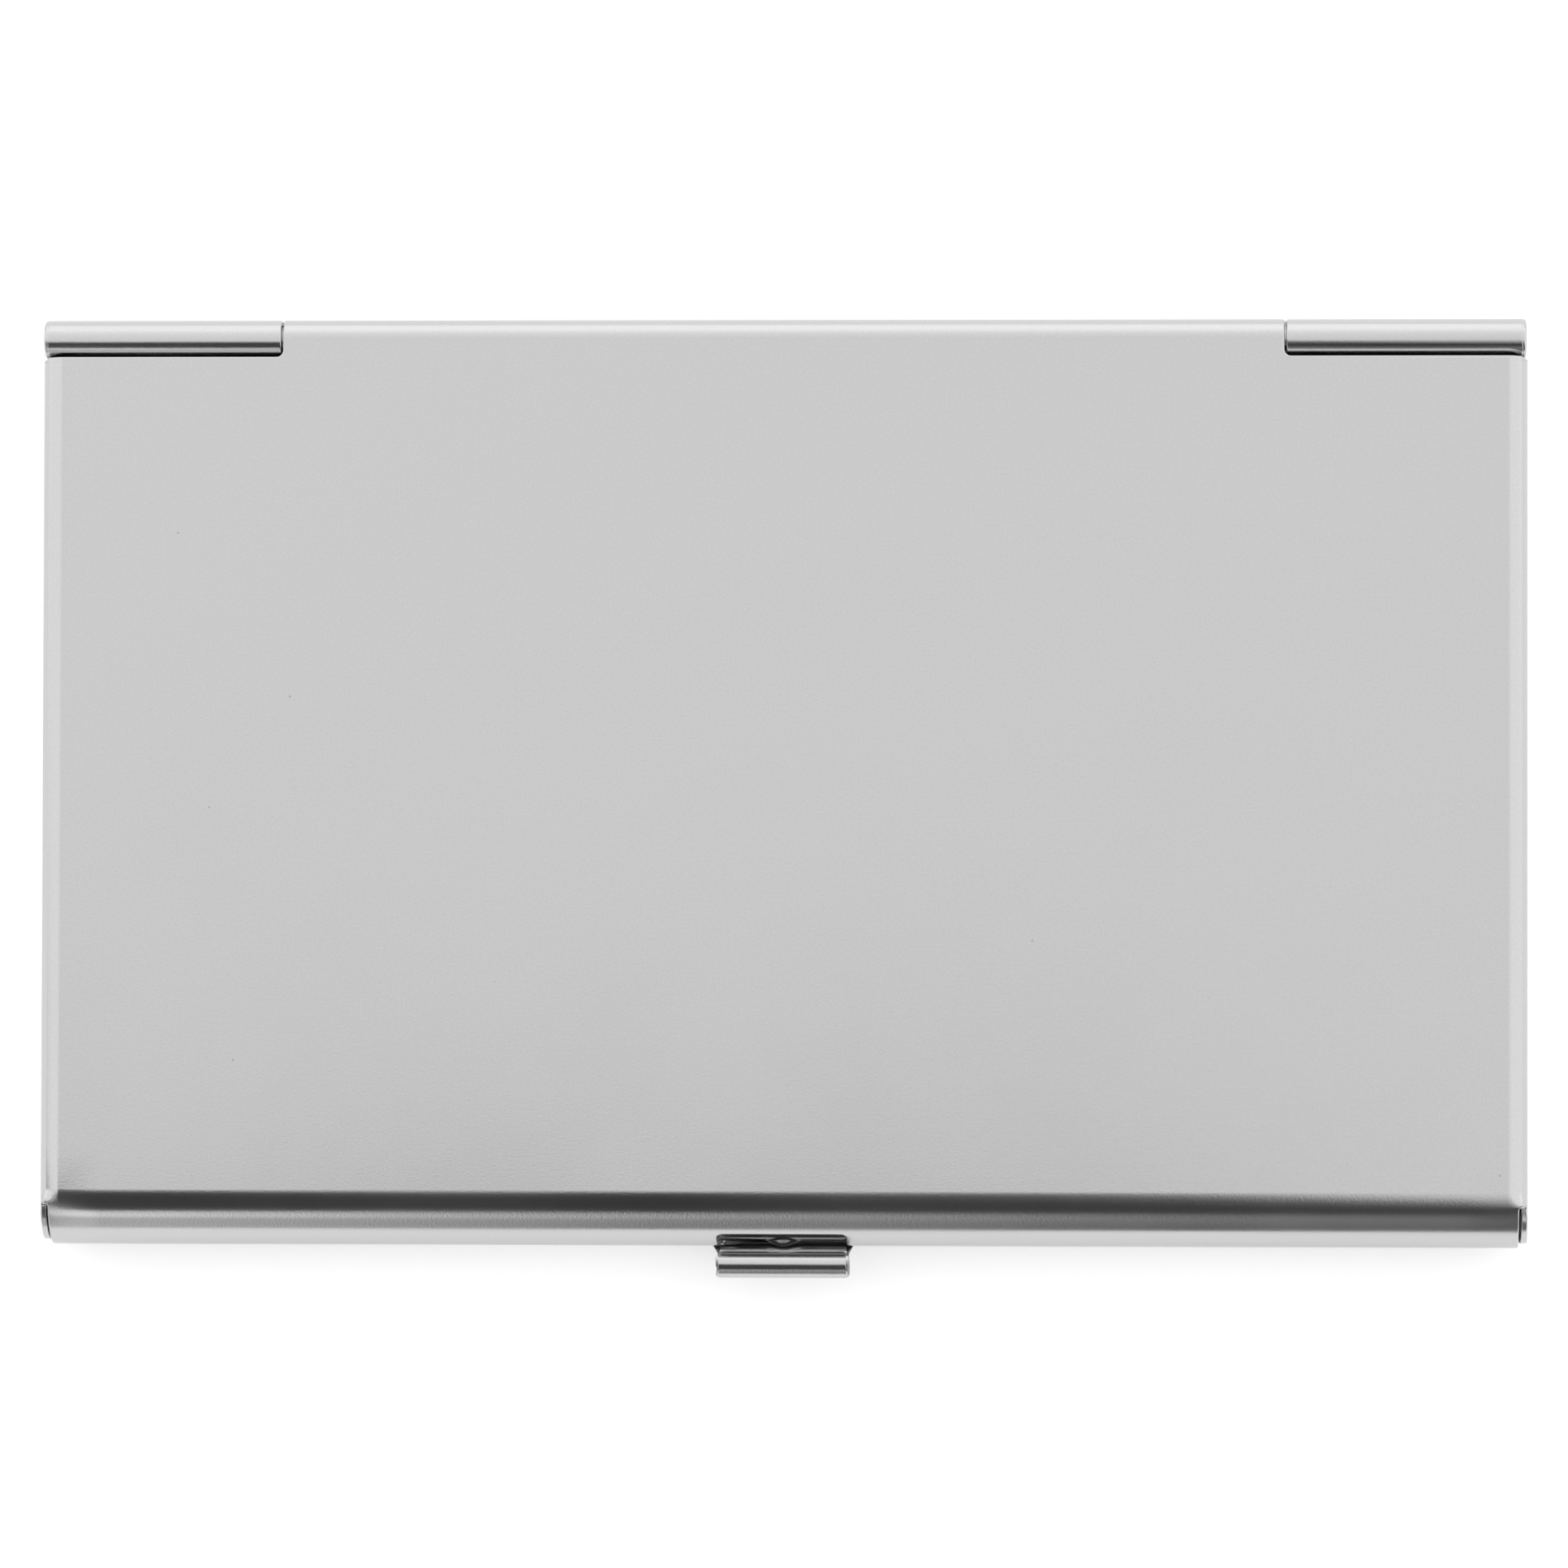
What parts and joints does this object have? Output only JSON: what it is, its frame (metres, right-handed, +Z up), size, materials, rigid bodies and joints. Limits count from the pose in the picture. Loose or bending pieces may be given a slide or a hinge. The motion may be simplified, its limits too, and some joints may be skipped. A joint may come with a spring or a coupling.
{
  "type": "business card case",
  "caption": "Slim hinged card case in satin-chromed sheet steel, with a rolled front edge, curled hinge barrels on a wire pin and a thumb tab with a click catch.",
  "frame": {"origin": "under the middle of the closed case's bounding box, thumb tab included, on the face it lies on", "axes": "+X along the hinge, +Y from the thumb tab to the hinge, +Z up through the lid"},
  "size_m": [0.093, 0.06, 0.007],
  "materials": {
    "base_plating": "satin (pearl) chrome plate",
    "pin_steel": "drawn steel wire",
    "lid_plating": "satin (pearl) chrome plate"
  },
  "bodies": {
    "base": {"base_shell": "base_plating", "hinge_pin": "pin_steel"},
    "lid": {"lid_shell": "lid_plating"}
  },
  "joints": [
    {"name": "lid_hinge", "type": "hinge", "parent": "base", "child": "lid", "pos_m": [0, 0.02878, 0.00578], "axis": [-1, 0, 0], "range_deg": [0, 150]}
  ]
}
